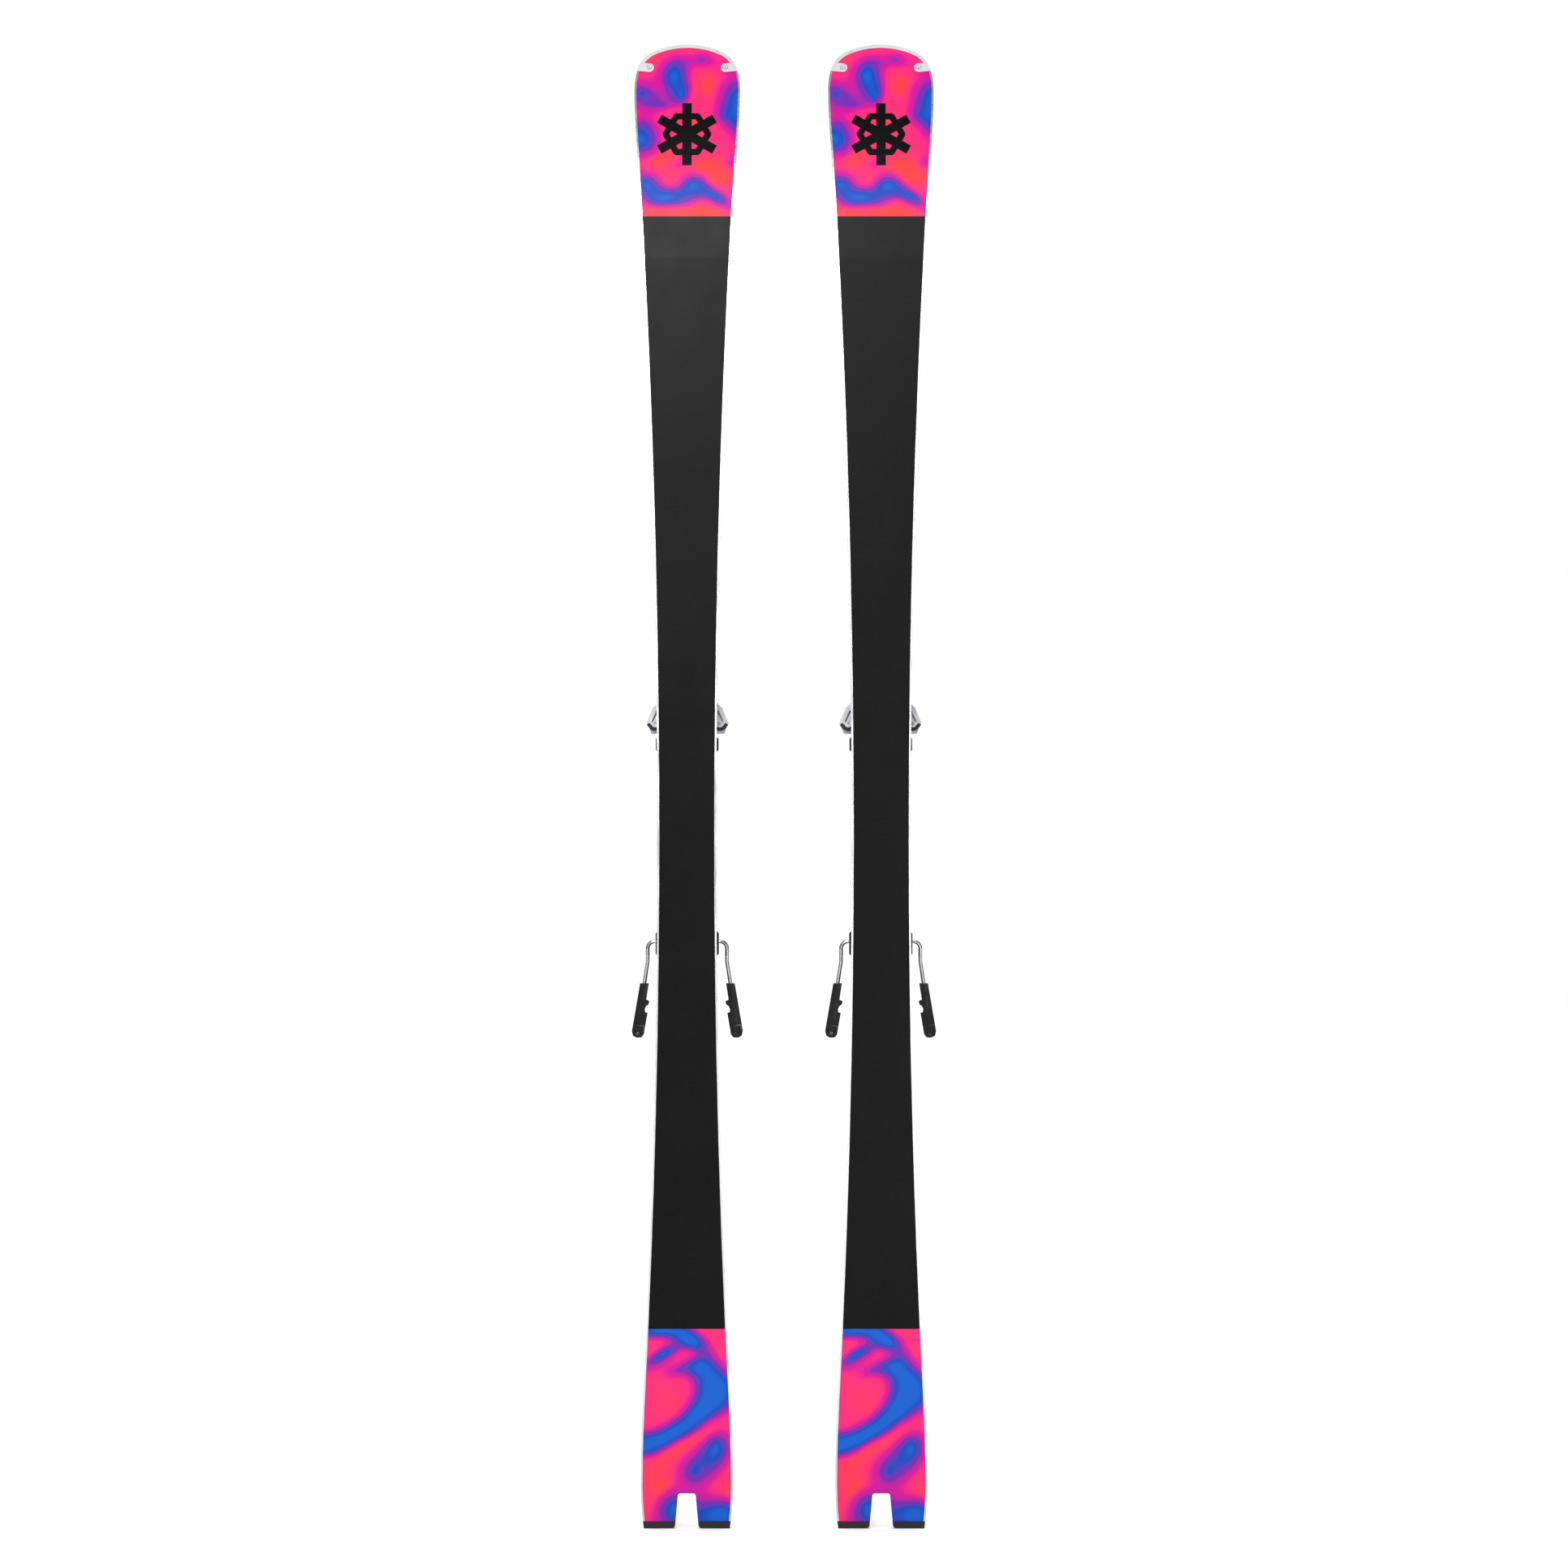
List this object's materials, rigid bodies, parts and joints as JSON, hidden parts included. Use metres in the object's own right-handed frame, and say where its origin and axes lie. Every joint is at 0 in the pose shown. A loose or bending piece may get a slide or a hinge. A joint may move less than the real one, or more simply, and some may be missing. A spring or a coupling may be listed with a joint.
{
  "type": "alpine skis with bindings",
  "caption": "Pair of alpine piste skis standing upright, bases forward, with step-in bindings, sliding heel pieces and ski brakes.",
  "frame": {"origin": "midway between the two tail ends, at the height they stand on, in the plane that the running bases touch at their contact points", "axes": "+Z from the tails to the tips, +Y from the running bases up through the bindings, +X to the right of someone who looks at the bases"},
  "size_m": [0.3494, 0.1094, 1.7],
  "materials": {
    "base_black": "sintered polyethylene, satin",
    "base_print": "marbled print in pink, orange and blue",
    "edge_steel": "ground steel edge",
    "laminate_metal": "metal sheet, satin",
    "core_wood": "laminated wood, inside",
    "sidewall_white": "white sidewall",
    "topsheet_print": "white top sheet with marbled bands",
    "tip_white": "white moulded rim",
    "cap_black": "black moulded cap",
    "screw_steel": "plated screw",
    "plate_black": "black moulded plate",
    "toe_shell": "white moulded shell on a black foot",
    "wing_white": "light grey cast wing",
    "pad_black": "black pad",
    "pin_steel": "ground pin",
    "spring_steel": "spring wire",
    "release_metal": "turned screw",
    "afd_grey": "low-friction plate",
    "heel_shell": "black moulded housing",
    "cup_black": "black moulded cup",
    "lever_white": "white lever",
    "brake_black": "black moulded block",
    "pedal_black": "black moulded pedal",
    "wire_steel": "bright spring-steel wire",
    "foot_black": "black moulded foot"
  },
  "bodies": {
    "left_ski": {"left_base_running": "base_black", "left_base_inlays": "base_print", "left_steel_edges": "edge_steel", "left_laminates": "laminate_metal", "left_wood_core": "core_wood", "left_sidewalls": "sidewall_white", "left_topsheet": "topsheet_print", "left_tip_protector": "tip_white", "left_tail_caps": "cap_black", "left_screws": "screw_steel", "left_binding_plate": "plate_black", "left_toe_housing": "toe_shell", "left_wing_pins": "pin_steel", "left_toe_spring": "spring_steel", "left_brake_housing": "brake_black"},
    "left_toe_wing_out_l": {"left_toe_wing_l": "wing_white", "left_wing_pad_l": "pad_black"},
    "left_toe_wing_out_r": {"left_toe_wing_r": "wing_white", "left_wing_pad_r": "pad_black"},
    "left_afd_plate": {"left_afd": "afd_grey"},
    "left_toe_screw": {"left_toe_release_screw": "release_metal"},
    "left_heel": {"left_heel_housing": "heel_shell", "left_heel_pins": "pin_steel", "left_heel_spring": "spring_steel"},
    "left_cup": {"left_heel_cup": "cup_black"},
    "left_lever": {"left_heel_lever": "lever_white"},
    "left_heel_screw": {"left_heel_release_screw": "release_metal"},
    "left_brake": {"left_brake_arms": "wire_steel", "left_brake_pedal": "pedal_black", "left_brake_feet": "foot_black"},
    "right_ski": {"right_base_running": "base_black", "right_base_inlays": "base_print", "right_steel_edges": "edge_steel", "right_laminates": "laminate_metal", "right_wood_core": "core_wood", "right_sidewalls": "sidewall_white", "right_topsheet": "topsheet_print", "right_tip_protector": "tip_white", "right_tail_caps": "cap_black", "right_screws": "screw_steel", "right_binding_plate": "plate_black", "right_toe_housing": "toe_shell", "right_wing_pins": "pin_steel", "right_toe_spring": "spring_steel", "right_brake_housing": "brake_black"},
    "right_toe_wing_out_l": {"right_toe_wing_l": "wing_white", "right_wing_pad_l": "pad_black"},
    "right_toe_wing_out_r": {"right_toe_wing_r": "wing_white", "right_wing_pad_r": "pad_black"},
    "right_afd_plate": {"right_afd": "afd_grey"},
    "right_toe_screw": {"right_toe_release_screw": "release_metal"},
    "right_heel": {"right_heel_housing": "heel_shell", "right_heel_pins": "pin_steel", "right_heel_spring": "spring_steel"},
    "right_cup": {"right_heel_cup": "cup_black"},
    "right_lever": {"right_heel_lever": "lever_white"},
    "right_heel_screw": {"right_heel_release_screw": "release_metal"},
    "right_brake": {"right_brake_arms": "wire_steel", "right_brake_pedal": "pedal_black", "right_brake_feet": "foot_black"}
  },
  "joints": [
    {"name": "left_wing_l_release", "type": "hinge", "parent": "left_ski", "child": "left_toe_wing_out_l", "pos_m": [-0.128, 0.056, 0.949], "axis": [0, 1, 0], "range_deg": [0, 22], "stiffness_Nm_per_rad": 8},
    {"name": "left_wing_r_release", "type": "hinge", "parent": "left_ski", "child": "left_toe_wing_out_r", "pos_m": [-0.094, 0.056, 0.949], "axis": [0, -1, 0], "range_deg": [0, 22], "stiffness_Nm_per_rad": 8},
    {"name": "left_afd_slide", "type": "slide", "parent": "left_ski", "child": "left_afd_plate", "axis": [1, 0, 0], "range_m": [-0.008, 0.008], "stiffness_N_per_m": 400},
    {"name": "left_toe_value", "type": "hinge", "parent": "left_ski", "child": "left_toe_screw", "pos_m": [-0.111, 0.056, 1], "axis": [0, 0, 1], "continuous": true},
    {"name": "left_forward_pressure", "type": "slide", "parent": "left_ski", "child": "left_heel", "axis": [0, 0, -1], "range_m": [0, 0.008], "stiffness_N_per_m": 8000, "springref_m": -0.002},
    {"name": "left_cup_open", "type": "hinge", "parent": "left_heel", "child": "left_cup", "pos_m": [-0.111, 0.05, 0.565], "axis": [-1, 0, 0], "range_deg": [0, 38]},
    {"name": "left_lever_press", "type": "hinge", "parent": "left_heel", "child": "left_lever", "pos_m": [-0.111, 0.05, 0.565], "axis": [-1, 0, 0], "range_deg": [0, 42]},
    {"name": "left_heel_value", "type": "hinge", "parent": "left_heel", "child": "left_heel_screw", "pos_m": [-0.111, 0.058, 0.503], "axis": [0, 0, 1], "continuous": true},
    {"name": "left_brake_deploy", "type": "hinge", "parent": "left_ski", "child": "left_brake", "pos_m": [-0.111, 0.038, 0.6688], "axis": [-1, 0, 0], "range_deg": [0, 55]},
    {"name": "right_wing_l_release", "type": "hinge", "parent": "right_ski", "child": "right_toe_wing_out_l", "pos_m": [0.094, 0.056, 0.949], "axis": [0, 1, 0], "range_deg": [0, 22], "stiffness_Nm_per_rad": 8},
    {"name": "right_wing_r_release", "type": "hinge", "parent": "right_ski", "child": "right_toe_wing_out_r", "pos_m": [0.128, 0.056, 0.949], "axis": [0, -1, 0], "range_deg": [0, 22], "stiffness_Nm_per_rad": 8},
    {"name": "right_afd_slide", "type": "slide", "parent": "right_ski", "child": "right_afd_plate", "axis": [1, 0, 0], "range_m": [-0.008, 0.008], "stiffness_N_per_m": 400},
    {"name": "right_toe_value", "type": "hinge", "parent": "right_ski", "child": "right_toe_screw", "pos_m": [0.111, 0.056, 1], "axis": [0, 0, 1], "continuous": true},
    {"name": "right_forward_pressure", "type": "slide", "parent": "right_ski", "child": "right_heel", "axis": [0, 0, -1], "range_m": [0, 0.008], "stiffness_N_per_m": 8000, "springref_m": -0.002},
    {"name": "right_cup_open", "type": "hinge", "parent": "right_heel", "child": "right_cup", "pos_m": [0.111, 0.05, 0.565], "axis": [-1, 0, 0], "range_deg": [0, 38]},
    {"name": "right_lever_press", "type": "hinge", "parent": "right_heel", "child": "right_lever", "pos_m": [0.111, 0.05, 0.565], "axis": [-1, 0, 0], "range_deg": [0, 42]},
    {"name": "right_heel_value", "type": "hinge", "parent": "right_heel", "child": "right_heel_screw", "pos_m": [0.111, 0.058, 0.503], "axis": [0, 0, 1], "continuous": true},
    {"name": "right_brake_deploy", "type": "hinge", "parent": "right_ski", "child": "right_brake", "pos_m": [0.111, 0.038, 0.6688], "axis": [-1, 0, 0], "range_deg": [0, 55]},
    {"name": "skis_apart", "type": "slide", "parent": "left_ski", "child": "right_ski", "axis": [1, 0, 0], "range_m": [-0.08, 0.3]}
  ],
  "couplings": [
    {"joint": "left_lever_press", "follows": "left_cup_open", "ratio": 1.1},
    {"joint": "right_lever_press", "follows": "right_cup_open", "ratio": 1.1}
  ]
}
